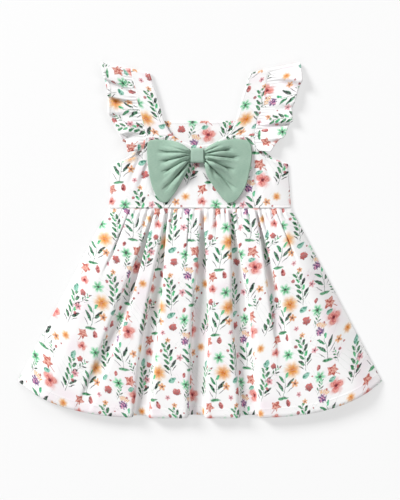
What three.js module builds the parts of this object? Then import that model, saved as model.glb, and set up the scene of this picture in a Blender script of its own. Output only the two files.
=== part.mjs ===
// A toddler sundress laid flat with its front up: a gathered skirt, a plain bodice, shoulder straps
// with flutter ruffles, and a gathered bow at the neckline. Millimetres, +Z up. The back panels rest
// on the plane z = 0, the front panels lie on them, and the shoulders point towards +Y. The sizes
// below count y from just under the bodice, and the whole dress is centred at the end.
import * as THREE from "three";

// Cloth and seams
const CLOTH = 1.4;
const BOW_CLOTH = 2.2; // doubled cloth, seamed round its edge
const SEAM_GAP = 0.3;

// Body of the dress
const WAIST_Y = 49;
const WAIST_HALF = 132;
const UNDERARM_HALF = 127.5;
const UNDERARM_Y = 113;
const HEM_HALF = 264;
const HEM_CENTRE_Y = -254;
const HEM_CORNER_Y = -202;
const HEM_CURVE = 4; // exponent of the hem's sweep up to its corners

// Neck, straps and shoulders
const NECK_DEPTH_Y = 139; // lowest point of the front neckline
const STRAP_SEAM_Y = 154;
const STRAP_INNER = 39;
const STRAP_OUTER = 78.5;
const BACK_NECK_Y = 175.5;
const BACK_STRAP_INNER = 52.5;
const BACK_STRAP_OUTER = 82.5;
const SHOULDER_INNER_Y = 243; // where the front layers start to fold over, at the neck side,
const SHOULDER_OUTER_Y = 250; // at the seam between strap and ruffle,
const RUFFLE_TOP_Y = 257.5; // and at the ruffle's free edge

// How the front lies over the back
const BACK_MID = CLOTH / 2;
const FRONT_LOW = CLOTH * 1.5 + SEAM_GAP; // lowest middle of a front wall, just clear of the back
const BODY_RISE = 3.2; // the front lifts this much away from its side seams
const SIDE_ROLL = 26; // width over which the front rolls down to a side seam
const STRAP_TOP_Z = 4.8;

// Skirt
const SKIRT_COLUMNS = 132;
const SKIRT_ROWS = 10;
const ROW_CROWDING = 1.6; // rows lie closer together at the gathers
const RIDGE_RISE = 12.5;
const RIDGE_GROWTH = 0.36; // share of the skirt's length over which the folds reach full height
const LOWEST_SHARE = 0.1; // a trough keeps this share of the ridge's height
const HEM_PULL = 0.3; // the hem rises by this share of a fold's depth
const BACK_HEM_TUCK = 3.5; // the back hem lies this much higher than the front one, away from the sides

// Each trough runs from a place on the waist seam to a place on the hem. Places count from -1 at the
// left side seam to 1 at the right one. Width is that of its half at full opening, in millimetres, as
// is its depth. It fades and ends at shares of the skirt's length.
const TROUGH_SQUARENESS = 3.4;
const TROUGHS = [
  { waist: -0.765, hem: -0.83, width: 4.5, depth: 5, fades: 0.1, ends: 0.38 },
  { waist: -0.5, hem: -0.645, width: 10.5, depth: 10, fades: 0.72, ends: 1.1 },
  { waist: -0.355, hem: -0.325, width: 12.5, depth: 10.5, fades: 0.8, ends: 1.5 },
  { waist: -0.115, hem: -0.13, width: 3.5, depth: 3.8, fades: 0.08, ends: 0.3 },
  { waist: 0.03, hem: -0.02, width: 12.5, depth: 12, fades: 1, ends: 2 },
  { waist: 0.335, hem: 0.27, width: 15.5, depth: 12, fades: 1, ends: 2 },
  { waist: 0.615, hem: 0.51, width: 10, depth: 9, fades: 0.35, ends: 0.8 },
  { waist: 0.826, hem: 0.85, width: 3.5, depth: 4.5, fades: 0.08, ends: 0.3 },
];

// The gathers are short creases that run down from the waist seam, each as far as its reach
const GATHER_WIDTH = 2.3;
const GATHERS = [
  { place: -0.955, reach: 22, depth: 1.5 }, { place: -0.9, reach: 16, depth: 1.1 },
  { place: -0.845, reach: 30, depth: 1.7 }, { place: -0.7, reach: 22, depth: 1.4 },
  { place: -0.64, reach: 34, depth: 1.7 }, { place: -0.57, reach: 46, depth: 2.5 },
  { place: -0.435, reach: 34, depth: 2 }, { place: -0.295, reach: 52, depth: 2.5 },
  { place: -0.24, reach: 30, depth: 1.8 }, { place: -0.175, reach: 24, depth: 1.5 },
  { place: -0.055, reach: 28, depth: 1.7 }, { place: 0.1, reach: 26, depth: 1.5 },
  { place: 0.165, reach: 50, depth: 2.7 }, { place: 0.225, reach: 26, depth: 1.6 },
  { place: 0.275, reach: 34, depth: 1.9 }, { place: 0.4, reach: 40, depth: 2.3 },
  { place: 0.455, reach: 26, depth: 1.7 }, { place: 0.52, reach: 44, depth: 2.4 },
  { place: 0.665, reach: 54, depth: 2.7 }, { place: 0.72, reach: 28, depth: 1.6 },
  { place: 0.775, reach: 34, depth: 1.9 }, { place: 0.89, reach: 26, depth: 1.6 },
  { place: 0.945, reach: 18, depth: 1.2 },
];

// Ruffles
const RUFFLE_WAVES = 5; // from the chest to the shoulder
const RUFFLE_WAVE_HEIGHT = 4.6;
const RUFFLE_WAVE_LEAN = 2.4;
const RUFFLE_LIFT = 4.4;
const RUFFLE_BACK_WAVE = 0.7;
const RUFFLE_LOW_Y = 132; // where a ruffle starts on the front armhole
const RUFFLE_BACK_LOW_Y = 138;
const RUFFLE_CLEAR = 0.8; // from the edge that it is sewn to
const RUFFLE_COLUMNS = 5;
const RUFFLE_FRONT_ROWS = 34;
const RUFFLE_BACK_ROWS = 11;
const FOLD_STEPS = 4;

// Bow, in its own frame about the middle of the knot
const BOW_X = -4;
const BOW_Y = 126;
const KNOT = { half: 9.3, tall: 11, thick: 3.8, wall: 1.6, squareness: 4, steps: 28, rows: 4 };
const BOW_FAN = 26;
const BOW_ROWS = 10;
const BOW_CREST = 7.5;

const { lerp, clamp, smoothstep } = THREE.MathUtils;
const point = (x, y, z) => new THREE.Vector3(x, y, z);
const spline = (pairs) => new THREE.SplineCurve(pairs.map(([x, y]) => new THREE.Vector2(x, y)));

const printedCloth = new THREE.MeshStandardMaterial({ color: 0xf6f3f0, roughness: 0.85, metalness: 0 });
const bowCloth = new THREE.MeshStandardMaterial({ color: 0x9fb9a7, roughness: 0.8, metalness: 0 });

// Normals of a grid of points, by differences across each point
function gridNormals(grid, closed) {
  const columns = grid.length;
  return grid.map((column, i) =>
    column.map((_, j) => {
      const before = closed ? (i + columns - 1) % columns : Math.max(i - 1, 0);
      const after = closed ? (i + 1) % columns : Math.min(i + 1, columns - 1);
      const across = grid[after][j].clone().sub(grid[before][j]);
      const along = grid[i][Math.min(j + 1, column.length - 1)].clone();
      along.sub(grid[i][Math.max(j - 1, 0)]);
      return across.cross(along).normalize();
    }),
  );
}

function signedVolume(vertices, faces) {
  let sum = 0;
  for (const [a, b, c] of faces) {
    sum += vertices[a].dot(vertices[b].clone().cross(vertices[c]));
  }
  return sum / 6;
}

// A closed wall of cloth whose middle runs through grid[column][row]. A closed wall joins its last
// column to its first, as a band does.
function clothWall(name, material, grid, thickness, closed = false) {
  const columns = grid.length;
  const rows = grid[0].length;
  const normals = gridNormals(grid, closed);
  const vertices = [];
  for (const side of [0.5, -0.5]) {
    for (let i = 0; i < columns; i++) {
      for (let j = 0; j < rows; j++) {
        vertices.push(grid[i][j].clone().addScaledVector(normals[i][j], side * thickness));
      }
    }
  }
  const outer = (i, j) => (i % columns) * rows + j;
  const inner = (i, j) => columns * rows + outer(i, j);
  const faces = [];
  const quad = (a, b, c, d) => faces.push([a, b, c], [a, c, d]);
  const lastColumn = closed ? columns : columns - 1;
  for (let i = 0; i < lastColumn; i++) {
    for (let j = 0; j < rows - 1; j++) {
      quad(outer(i, j), outer(i + 1, j), outer(i + 1, j + 1), outer(i, j + 1));
      quad(inner(i, j), inner(i, j + 1), inner(i + 1, j + 1), inner(i + 1, j));
    }
    quad(outer(i, 0), inner(i, 0), inner(i + 1, 0), outer(i + 1, 0));
    quad(outer(i, rows - 1), outer(i + 1, rows - 1), inner(i + 1, rows - 1), inner(i, rows - 1));
  }
  if (!closed) {
    for (let j = 0; j < rows - 1; j++) {
      quad(outer(0, j), outer(0, j + 1), inner(0, j + 1), inner(0, j));
      quad(outer(columns - 1, j), inner(columns - 1, j), inner(columns - 1, j + 1), outer(columns - 1, j + 1));
    }
  }
  if (signedVolume(vertices, faces) < 0) {
    faces.forEach((face) => face.reverse());
  }
  const geometry = new THREE.BufferGeometry().setFromPoints(vertices);
  geometry.setIndex(faces.flat());
  geometry.computeVertexNormals();
  const mesh = new THREE.Mesh(geometry, material);
  mesh.name = name;
  return mesh;
}

// Points column by column, from a function of two counters
function gridOf(columns, rows, at) {
  return Array.from({ length: columns + 1 }, (_, i) =>
    Array.from({ length: rows + 1 }, (_, j) => at(i / columns, j / rows)),
  );
}

// 0 at a side seam, rounding up to 1 where the front lies level
function sideRoll(distance) {
  return Math.sin((Math.PI / 2) * clamp(distance / SIDE_ROLL, 0, 1));
}

function bodiceHeight(x, y) {
  const side = lerp(WAIST_HALF, UNDERARM_HALF, (y - WAIST_Y) / (UNDERARM_Y - WAIST_Y));
  const towardsShoulder = smoothstep(y, STRAP_SEAM_Y, SHOULDER_INNER_Y);
  const level = FRONT_LOW + BODY_RISE * sideRoll(side - Math.abs(x));
  return lerp(level, STRAP_TOP_Z, towardsShoulder);
}

// Skirt

function hemY(x) {
  const sweep = Math.abs(x / HEM_HALF) ** HEM_CURVE;
  return lerp(HEM_CENTRE_Y, HEM_CORNER_Y, sweep);
}

function skirtPlan(place, down, hemRise) {
  const hemX = HEM_HALF * place;
  const top = WAIST_Y - SEAM_GAP / 2;
  return { x: lerp(WAIST_HALF * place, hemX, down), y: lerp(top, hemY(hemX) + hemRise, down) };
}

function troughDepth(place, down) {
  const half = lerp(WAIST_HALF, HEM_HALF, down);
  return TROUGHS.reduce((sum, trough) => {
    const away = Math.abs(place - lerp(trough.waist, trough.hem, down)) * half;
    const opening = 0.45 + 0.55 * smoothstep(down, 0, 0.7);
    const profile = Math.exp(-((away / (trough.width * opening)) ** TROUGH_SQUARENESS));
    const starts = smoothstep(down, 0, 0.1);
    const stays = 1 - smoothstep(down, trough.fades, trough.ends);
    return sum + trough.depth * starts * stays * profile;
  }, 0);
}

function gatherDepth(place, down) {
  const half = lerp(WAIST_HALF, HEM_HALF, down);
  const below = down * (WAIST_Y - HEM_CENTRE_Y);
  const swell = 0.45 + 0.55 * smoothstep(below, 0, 8);
  return GATHERS.reduce((sum, gather) => {
    const away = (place - gather.place) * half;
    const width = GATHER_WIDTH * (1 + below / gather.reach);
    const stays = 1 - smoothstep(below, 0.25 * gather.reach, gather.reach);
    return sum + gather.depth * swell * stays * Math.exp(-((away / width) ** 2));
  }, 0);
}

function skirtHeight(place, down) {
  const half = lerp(WAIST_HALF, HEM_HALF, down);
  const roll = sideRoll(half * (1 - Math.abs(place)));
  const ridge = lerp(BODY_RISE, RIDGE_RISE, smoothstep(down, 0, RIDGE_GROWTH));
  const folded = ridge - troughDepth(place, down) - gatherDepth(place, down);
  return FRONT_LOW + roll * Math.max(folded, LOWEST_SHARE * ridge);
}

function frontSkirt() {
  const grid = gridOf(SKIRT_COLUMNS, SKIRT_ROWS, (across, row) => {
    const place = 2 * across - 1;
    const down = row ** ROW_CROWDING;
    const { x, y } = skirtPlan(place, down, HEM_PULL * troughDepth(place, 1));
    return point(x, y, skirtHeight(place, down));
  });
  return clothWall("front_skirt", printedCloth, grid, CLOTH);
}

function backSkirt() {
  const grid = gridOf(24, 3, (across, down) => {
    const place = 2 * across - 1;
    const { x, y } = skirtPlan(place, down, BACK_HEM_TUCK * (1 - place ** 8));
    return point(x, y, BACK_MID);
  });
  return clothWall("back_skirt", printedCloth, grid, CLOTH);
}

// Bodice. A half edge runs from the middle of the neck to the underarm, and is mirrored.

const frontNeck = spline([[0, NECK_DEPTH_Y], [14, 141], [27, 146], [STRAP_INNER, STRAP_SEAM_Y]]);
const frontArmhole = spline([
  [STRAP_OUTER, STRAP_SEAM_Y], [79.5, 142], [83.5, 132], [92, 124.5],
  [105, 119], [117, 115], [UNDERARM_HALF, UNDERARM_Y],
]);
const backArmhole = spline([
  [BACK_STRAP_OUTER, BACK_NECK_Y], [83.5, 155], [88, 139], [97, 128.5],
  [109, 120.5], [UNDERARM_HALF, UNDERARM_Y],
]);

function halfEdge(neckPoints, strapInner, strapOuter, strapY, armhole) {
  const strap = [1, 2, 3].map((n) => new THREE.Vector2(lerp(strapInner, strapOuter, n / 4), strapY));
  return [...neckPoints, ...strap, ...armhole.getSpacedPoints(9)];
}

// A bodice panel hangs its columns between the top edge and the waist seam
function bodiceGrid(half, rows, heightAt) {
  const lengths = [0];
  for (let k = 1; k < half.length; k++) {
    lengths.push(lengths[k - 1] + half[k].distanceTo(half[k - 1]));
  }
  const columns = half.map((top, k) => ({
    topX: top.x,
    topY: top.y,
    waistX: WAIST_HALF * lerp(top.x / UNDERARM_HALF, lengths[k] / lengths.at(-1), 0.3),
  }));
  const mirrored = columns.slice(1).reverse();
  const all = [...mirrored.map((c) => ({ ...c, side: -1 })), ...columns.map((c) => ({ ...c, side: 1 }))];
  const low = WAIST_Y + SEAM_GAP / 2;
  return all.map(({ topX, topY, waistX, side }) =>
    Array.from({ length: rows + 1 }, (_, j) => {
      const x = side * lerp(waistX, topX, j / rows);
      const y = lerp(low, topY, j / rows);
      return point(x, y, heightAt(x, y));
    }),
  );
}

function frontBodice() {
  const edge = halfEdge(frontNeck.getSpacedPoints(7), STRAP_INNER, STRAP_OUTER, STRAP_SEAM_Y, frontArmhole);
  return clothWall("front_bodice", printedCloth, bodiceGrid(edge, 6, bodiceHeight), CLOTH);
}

function backBodice() {
  const neck = [0, 0.5, 1].map((n) => new THREE.Vector2(BACK_STRAP_INNER * n, BACK_NECK_Y));
  const edge = halfEdge(neck, BACK_STRAP_INNER, BACK_STRAP_OUTER, BACK_NECK_Y, backArmhole);
  return clothWall("back_bodice", printedCloth, bodiceGrid(edge, 2, () => BACK_MID), CLOTH);
}

// Where a strip folds over the shoulder from its front layer to its back layer
function shoulderFold(x, y, frontZ, turn) {
  const radius = (frontZ - BACK_MID) / 2;
  const angle = Math.PI * turn;
  return point(x, y + radius * Math.sin(angle), BACK_MID + radius * (1 + Math.cos(angle)));
}

const foldTurns = Array.from({ length: FOLD_STEPS + 1 }, (_, n) => n / FOLD_STEPS);

// Straps: the edges of the right strap, mirrored for the left one

const strapInnerEdge = spline([
  [STRAP_INNER, STRAP_SEAM_Y], [46.5, 163], [BACK_STRAP_INNER, BACK_NECK_Y],
  [57, 190], [62, 210], [73, SHOULDER_INNER_Y],
]);
const strapOuterEdge = spline([
  [STRAP_OUTER, STRAP_SEAM_Y], [80, 163], [BACK_STRAP_OUTER, BACK_NECK_Y],
  [86.5, 190], [91.5, 210], [100.5, SHOULDER_OUTER_Y],
]);

// Where an edge that rises from the chest to the shoulder passes a height y, by halving
function edgeX(curve, y) {
  let low = 0;
  let high = 1;
  for (let n = 0; n < 30; n++) {
    const middle = (low + high) / 2;
    if (curve.getPoint(middle).y < y) low = middle;
    else high = middle;
  }
  return curve.getPoint(low).x;
}

function strap(name, side) {
  const width = 4;
  const frontRows = 8;
  const backRows = 5;
  const grid = Array.from({ length: width + 1 }, (_, i) => {
    const across = i / width;
    const foldY = lerp(SHOULDER_INNER_Y, SHOULDER_OUTER_Y, across);
    const xAt = (y) => side * lerp(edgeX(strapInnerEdge, y), edgeX(strapOuterEdge, y), across);
    const front = Array.from({ length: frontRows }, (_, j) => {
      const y = lerp(STRAP_SEAM_Y + SEAM_GAP, foldY, j / frontRows);
      const x = xAt(y);
      return point(x, y, bodiceHeight(x, y));
    });
    const fold = foldTurns.map((turn) => shoulderFold(xAt(foldY), foldY, STRAP_TOP_Z, turn));
    const back = Array.from({ length: backRows }, (_, j) => {
      const y = lerp(foldY, BACK_NECK_Y + SEAM_GAP, (j + 1) / backRows);
      return point(xAt(y), y, BACK_MID);
    });
    return [...front, ...fold, ...back];
  });
  return clothWall(name, printedCloth, grid, CLOTH);
}

// Ruffles. A seam edge runs up an armhole and on along the strap, a little outside both.

function ruffleSeam(armhole, lowY, strapFromY) {
  const below = armhole.getSpacedPoints(30).filter((p) => p.y > lowY).reverse();
  const above = strapOuterEdge.getSpacedPoints(16).filter((p) => p.y > strapFromY + 2);
  const points = [...below, ...above].map((p) => [p.x + RUFFLE_CLEAR, p.y]);
  return spline(points);
}

const ruffleFrontSeam = ruffleSeam(frontArmhole, RUFFLE_LOW_Y, STRAP_SEAM_Y);
const ruffleBackSeam = ruffleSeam(backArmhole, RUFFLE_BACK_LOW_Y, BACK_NECK_Y);
const ruffleBackEdge = spline([[112, 147], [122, 166], [129, 182], [131, 200], [134, 220], [143, RUFFLE_TOP_Y]]);

const LEFT_RUFFLE = {
  side: -1,
  phase: 0.4,
  edge: spline([
    [102, 132], [110, 150], [119, 166], [129, 179], [133.5, 196], [132.5, 217], [138, 238], [143, RUFFLE_TOP_Y],
  ]),
};
const RIGHT_RUFFLE = {
  side: 1,
  phase: 2.1,
  edge: spline([
    [102, 132], [114, 147], [125, 161], [133, 175], [133.5, 192], [139, 211], [147, 236], [146, RUFFLE_TOP_Y],
  ]),
};

function ruffle(name, { side, phase, edge }) {
  const plan = (seamCurve, edgeCurve, up, out) => {
    const seam = seamCurve.getPointAt(up);
    const free = edgeCurve.getPointAt(up);
    return { x: side * lerp(seam.x, free.x, out), y: lerp(seam.y, free.y, out) };
  };
  const frontPoint = (up, out) => {
    const { x, y } = plan(ruffleFrontSeam, edge, up, out);
    const turn = 2 * Math.PI * (RUFFLE_WAVES * up + 0.06 * Math.sin(9 * up + phase)) + phase;
    const seamZ = bodiceHeight(x, y);
    const settle = 1 - 0.6 * smoothstep(up, 0.86, 1);
    const lift = RUFFLE_LIFT * out * settle;
    const wave = RUFFLE_WAVE_HEIGHT * out * settle * Math.sin(turn);
    const lean = RUFFLE_WAVE_LEAN * out * settle * Math.cos(turn) * (1 - smoothstep(up, 0.9, 1));
    return point(x, y + lean, seamZ + lift + wave);
  };
  const backPoint = (up, out) => {
    const { x, y } = plan(ruffleBackSeam, ruffleBackEdge, up, out);
    const wave = 1 + Math.sin(2 * Math.PI * 3 * up + phase);
    return point(x, y, BACK_MID + RUFFLE_BACK_WAVE * out * (1 - smoothstep(up, 0.8, 1)) * wave);
  };
  const grid = Array.from({ length: RUFFLE_COLUMNS + 1 }, (_, i) => {
    const out = i / RUFFLE_COLUMNS;
    const front = Array.from({ length: RUFFLE_FRONT_ROWS }, (_, j) => frontPoint(j / RUFFLE_FRONT_ROWS, out));
    const top = frontPoint(1, out);
    const fold = foldTurns.map((turn) => shoulderFold(top.x, top.y, top.z, turn));
    const back = Array.from({ length: RUFFLE_BACK_ROWS }, (_, j) =>
      backPoint(1 - (j + 1) / RUFFLE_BACK_ROWS, out),
    );
    return [...front, ...fold, ...back];
  });
  return clothWall(name, printedCloth, grid, CLOTH);
}

// Bow wings: a patch between its top edge, its lower edge and its outer edge, all from the knot out.
// Creases run from near the knot to where they fade, widening as they go.

const LEFT_WING = {
  top: [[-0.8, 7.4], [-9.6, 7.6], [-25, 17.5], [-39.5, 22], [-57, 24], [-70, 22]],
  low: [[-0.8, -7.4], [-9.6, -7.8], [-15.4, -23], [-23.5, -37.6], [-33.7, -55], [-44, -68]],
  outer: [[-70, 22], [-73.6, 7.4], [-72.8, -14.4], [-68.5, -40.5], [-61, -59.3], [-52, -69.5], [-44, -68]],
  creases: [
    { from: [-11, 3.6], to: [-60, 4], width: 2.2, depth: 3.2 },
    { from: [-11, 0.8], to: [-54, -9], width: 2.4, depth: 3.8 },
    { from: [-11, -2.4], to: [-47, -21], width: 2.2, depth: 3.4 },
    { from: [-11.5, -7.5], to: [-50, -47], width: 3, depth: 5 },
  ],
};
const RIGHT_WING = {
  top: [[0.8, 7.4], [9.6, 7.6], [22.9, 16.8], [38.8, 22], [56.2, 24.8], [70.7, 22.6]],
  low: [[0.8, -7.4], [9.6, -7.8], [14.6, -27.4], [24.3, -44.8], [35.9, -60.7], [46, -71]],
  outer: [[70.7, 22.6], [79.4, 15], [81.4, 0], [78, -21.6], [73.6, -40.5], [66.4, -55], [56.2, -68], [46, -71]],
  creases: [
    { from: [11, 1.5], to: [40, 6.5], width: 2.2, depth: 3.2 },
    { from: [11, -1.4], to: [54, -4.5], width: 2.4, depth: 3.8 },
    { from: [11, -4.4], to: [44, -20.5], width: 2.2, depth: 3.4 },
    { from: [11.5, -8], to: [48, -43], width: 3, depth: 5 },
  ],
};

function creaseDepth(creases, x, y) {
  return creases.reduce((sum, { from, to, width, depth }) => {
    const length = Math.hypot(to[0] - from[0], to[1] - from[1]);
    const dx = (to[0] - from[0]) / length;
    const dy = (to[1] - from[1]) / length;
    const along = ((x - from[0]) * dx + (y - from[1]) * dy) / length;
    const away = (x - from[0]) * dy - (y - from[1]) * dx;
    const spread = width * (1 + 1.4 * clamp(along, 0, 1));
    const fade = smoothstep(along, -0.05, 0.12) * (1 - smoothstep(along, 0.3, 1));
    return sum + depth * fade * Math.exp(-((away / spread) ** 2));
  }, 0);
}

function bowWing(name, wing) {
  const top = spline(wing.top);
  const low = spline(wing.low);
  const outer = spline(wing.outer);
  const restZ = FRONT_LOW + BODY_RISE + CLOTH / 2 + SEAM_GAP + BOW_CLOTH / 2;
  const rootZ = restZ - BOW_CLOTH / 2 + KNOT.thick;
  const grid = gridOf(BOW_FAN, BOW_ROWS, (fan, out) => {
    const chord = top.getPoint(out).lerp(low.getPoint(out), fan);
    const end = top.getPoint(1).lerp(low.getPoint(1), fan);
    const shift = outer.getPointAt(fan).sub(end).multiplyScalar(out ** 1.5);
    const plan = chord.add(shift);
    const arch = Math.sin(Math.PI * fan) ** 0.7;
    const crest = lerp(1.6, BOW_CREST, arch) * Math.sin(Math.PI * Math.min(out + 0.12, 1) ** 0.75);
    const level = lerp(rootZ, restZ + 0.4 + 1.4 * arch, smoothstep(out, 0.1, 0.75));
    const z = level + crest - creaseDepth(wing.creases, plan.x, plan.y);
    const inKnot = 1 - smoothstep(out, 0.2, 0.36);
    return point(BOW_X + plan.x, BOW_Y + plan.y, Math.max(lerp(z, rootZ, inKnot), restZ));
  });
  return clothWall(name, bowCloth, grid, BOW_CLOTH);
}

// The knot is a short band round the roots of both wings
function bowKnot() {
  const middleZ = FRONT_LOW + BODY_RISE + CLOTH / 2 + SEAM_GAP + KNOT.thick;
  const squared = (value) => Math.sign(value) * Math.abs(value) ** (2 / KNOT.squareness);
  const grid = Array.from({ length: KNOT.steps }, (_, i) => {
    const angle = (2 * Math.PI * i) / KNOT.steps;
    return Array.from({ length: KNOT.rows + 1 }, (_, j) => {
      const across = (2 * j) / KNOT.rows - 1;
      const pinch = 1 - 0.04 * across * across;
      const y = (KNOT.tall - KNOT.wall / 2) * pinch * squared(Math.cos(angle));
      const z = (KNOT.thick - KNOT.wall / 2) * pinch * squared(Math.sin(angle));
      return point(BOW_X + KNOT.half * across, BOW_Y + y, middleZ + z);
    });
  });
  return clothWall("bow_knot", bowCloth, grid, KNOT.wall, true);
}

const dress = new THREE.Group();
dress.add(
  backSkirt(),
  frontSkirt(),
  backBodice(),
  frontBodice(),
  strap("strap_left", -1),
  strap("strap_right", 1),
  ruffle("ruffle_left", LEFT_RUFFLE),
  ruffle("ruffle_right", RIGHT_RUFFLE),
  bowWing("bow_wing_left", LEFT_WING),
  bowWing("bow_wing_right", RIGHT_WING),
  bowKnot(),
);

// The origin is the middle of the footprint
const middle = new THREE.Box3().setFromObject(dress).getCenter(new THREE.Vector3());
dress.position.y = -middle.y;

export default dress;
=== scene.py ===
import math

import bmesh
import bpy
import numpy as np
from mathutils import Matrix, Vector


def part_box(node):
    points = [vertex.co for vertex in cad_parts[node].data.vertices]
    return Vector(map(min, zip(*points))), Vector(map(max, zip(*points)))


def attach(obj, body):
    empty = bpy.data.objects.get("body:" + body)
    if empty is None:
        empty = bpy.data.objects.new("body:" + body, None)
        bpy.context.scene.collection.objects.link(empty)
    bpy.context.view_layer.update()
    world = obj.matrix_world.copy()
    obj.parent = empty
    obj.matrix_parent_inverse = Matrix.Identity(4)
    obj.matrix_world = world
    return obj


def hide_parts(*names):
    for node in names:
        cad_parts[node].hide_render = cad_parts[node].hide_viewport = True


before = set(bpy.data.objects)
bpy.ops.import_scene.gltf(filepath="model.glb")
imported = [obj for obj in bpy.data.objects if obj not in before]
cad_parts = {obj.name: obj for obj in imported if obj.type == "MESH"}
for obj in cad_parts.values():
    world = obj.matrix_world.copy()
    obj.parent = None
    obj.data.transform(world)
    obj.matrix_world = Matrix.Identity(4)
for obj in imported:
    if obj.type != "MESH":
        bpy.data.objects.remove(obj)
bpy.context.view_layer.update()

# A toddler's sundress of printed cotton, laid flat with its front up. The cloth is made panel by
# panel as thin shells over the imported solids. Shapes are worked out in millimetres, in the
# pattern's own measure: x across the dress, y along it, z up from the surface that it lies on.

MM = 0.001

# Cloth
CLOTH = 1.1
BOW_CLOTH = 1.7
SEAM_GAP = 0.3
BACK_MID = 0.75
FRONT_LOW = 1.9
TURN_STEP = 0.5  # extra thickness where an edge is turned under
EDGE_TURN = 4.4
THREAD_PROUD = 0.08
EDGE_STITCH = 3.4  # from an edge to its line of stitches
WELT_STITCH = 5.2  # from the waist seam
HEM_TURN = 13
HEM_STITCH = HEM_TURN - 1.5
STITCHES = {"Pitch": 3.2, "Stitch length": 2.4, "Thread": 0.42}

# Body of the dress
WAIST_Y = 49
WAIST_HALF = 132
UNDERARM_HALF = 127.5
UNDERARM_Y = 113
HEM_HALF = 264
HEM_CENTRE_Y = -254
HEM_CORNER_Y = -202
HEM_CURVE = 4
HEM_PULL = 0.3
BACK_HEM_TUCK = 3.5
SKIRT_LENGTH = WAIST_Y - HEM_CENTRE_Y

# Neck, straps and shoulders
NECK_DEPTH_Y = 139
STRAP_SEAM_Y = 154
STRAP_INNER = 39
STRAP_OUTER = 78.5
BACK_NECK_Y = 175.5
BACK_STRAP_INNER = 52.5
BACK_STRAP_OUTER = 82.5
SHOULDER_INNER_Y = 243
SHOULDER_OUTER_Y = 250
RUFFLE_TOP_Y = 257.5

# How the front lies over the back
BODY_RISE = 3.4
SIDE_ROLL = 26
SIDE_SPREAD = 1.7  # how much wider the side's roll is at the hem
STRAP_TOP_Z = 5.0
RIDGE_RISE = 13.0
RIDGE_GROWTH = 0.36
LOWEST_SHARE = 0.1

# The flat cloth of each piece. The skirt is a flared panel that is gathered into the waist.
SKIRT_CUT_TOP = 400
SKIRT_CUT_HEM = 640
STRAP_CUT = 40  # widest, at the front seam
STRAP_TAPER = 0.8  # share of the strip that is left where it narrows
RUFFLE_CUT = 50  # widest, at the shoulder
RUFFLE_TAPER = 0.72
RUFFLE_FULLNESS = 1.15  # cut length over the length of its waved free part

# Columns and rows of each panel's grid
SKIRT_GRID = (440, 94)
BACK_SKIRT_GRID = (260, 70)
BODICE_ROWS = 70
BACK_BODICE_ROWS = 50
STRAP_GRID = (26, 60)
RUFFLE_GRID = (34, 190)
FOLD_ROWS = 12
WING_GRID = (170, 90)
KNOT_GRID = (97, 30)

# Where each piece lies on the printed cloth, on the right side of the dress
FRONT_BODICE_PRINT = (31, 12)
BACK_BODICE_PRINT = (-22, 40)
STRAP_PRINT = (47, 18)
RUFFLE_PRINT = (20, 11)

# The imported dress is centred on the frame's origin, so the pattern's y is moved with it
PATTERN_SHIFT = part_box("front_skirt")[1][1] / MM - (WAIST_Y - SEAM_GAP / 2)

# Lines that the stitches follow on the front, and on the inner face of the back
front_lines, inner_lines = [], []


def blend(a, b, share):
    return a + (b - a) * share


def even_steps(count):
    return np.linspace(0, 1, count)


def ease(value, low, high):
    """0 below low, 1 above high, and smooth between."""
    share = np.clip((value - low) / (high - low), 0, 1)
    return share * share * (3 - 2 * share)


def lengths_along(points, axis):
    """How far each point lies along its own run of the grid."""
    steps = np.linalg.norm(np.diff(points, axis=axis), axis=-1)
    start = np.zeros_like(np.take(steps, [0], axis=axis))
    return np.concatenate([start, np.cumsum(steps, axis=axis)], axis=axis)


class Curve:
    """A smooth curve through a few points of the pattern."""

    FINE = even_steps(400)

    def __init__(self, points):
        self.points = np.array(points, float)
        self.lengths = lengths_along(self.at(self.FINE), 0)

    def at(self, share):
        """Points by share of the point count, as a Catmull-Rom spline."""
        last = len(self.points) - 1
        place = np.asarray(share, float) * last
        whole = np.clip(np.floor(place).astype(int), 0, last - 1)
        t = (place - whole)[..., None]
        near = (self.points[np.clip(whole + n, 0, last)] for n in (-1, 0, 1, 2))
        before, start, end, after = near
        leave, arrive = (end - before) / 2, (after - start) / 2
        cubic = (2 * start - 2 * end + leave + arrive) * t**3
        square = (-3 * start + 3 * end - 2 * leave - arrive) * t**2
        return cubic + square + leave * t + start

    def along(self, share):
        """Points by share of the curve's length."""
        length = np.asarray(share) * self.lengths[-1]
        return self.at(np.interp(length, self.lengths, self.FINE))

    def x_at(self, y):
        """Where a curve that only rises passes the height y."""
        fine = self.at(self.FINE)
        return np.interp(y, fine[:, 1], fine[:, 0])


# Shells of cloth


def unit(vectors):
    return vectors / np.maximum(np.linalg.norm(vectors, axis=-1, keepdims=True), 1e-9)


def grid_normals(points):
    return unit(np.cross(np.gradient(points, axis=0), np.gradient(points, axis=1)))


def rim_paths(grid, band):
    """The runs of grid points round the edge of a panel, or along the two edges of a band."""
    if band:
        return [grid[:, 0], grid[::-1, -1]]
    around = [grid[:-1, 0], grid[-1, :-1], grid[:0:-1, -1], grid[0, :0:-1], grid[:1, 0]]
    return [np.concatenate(around)]


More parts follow.
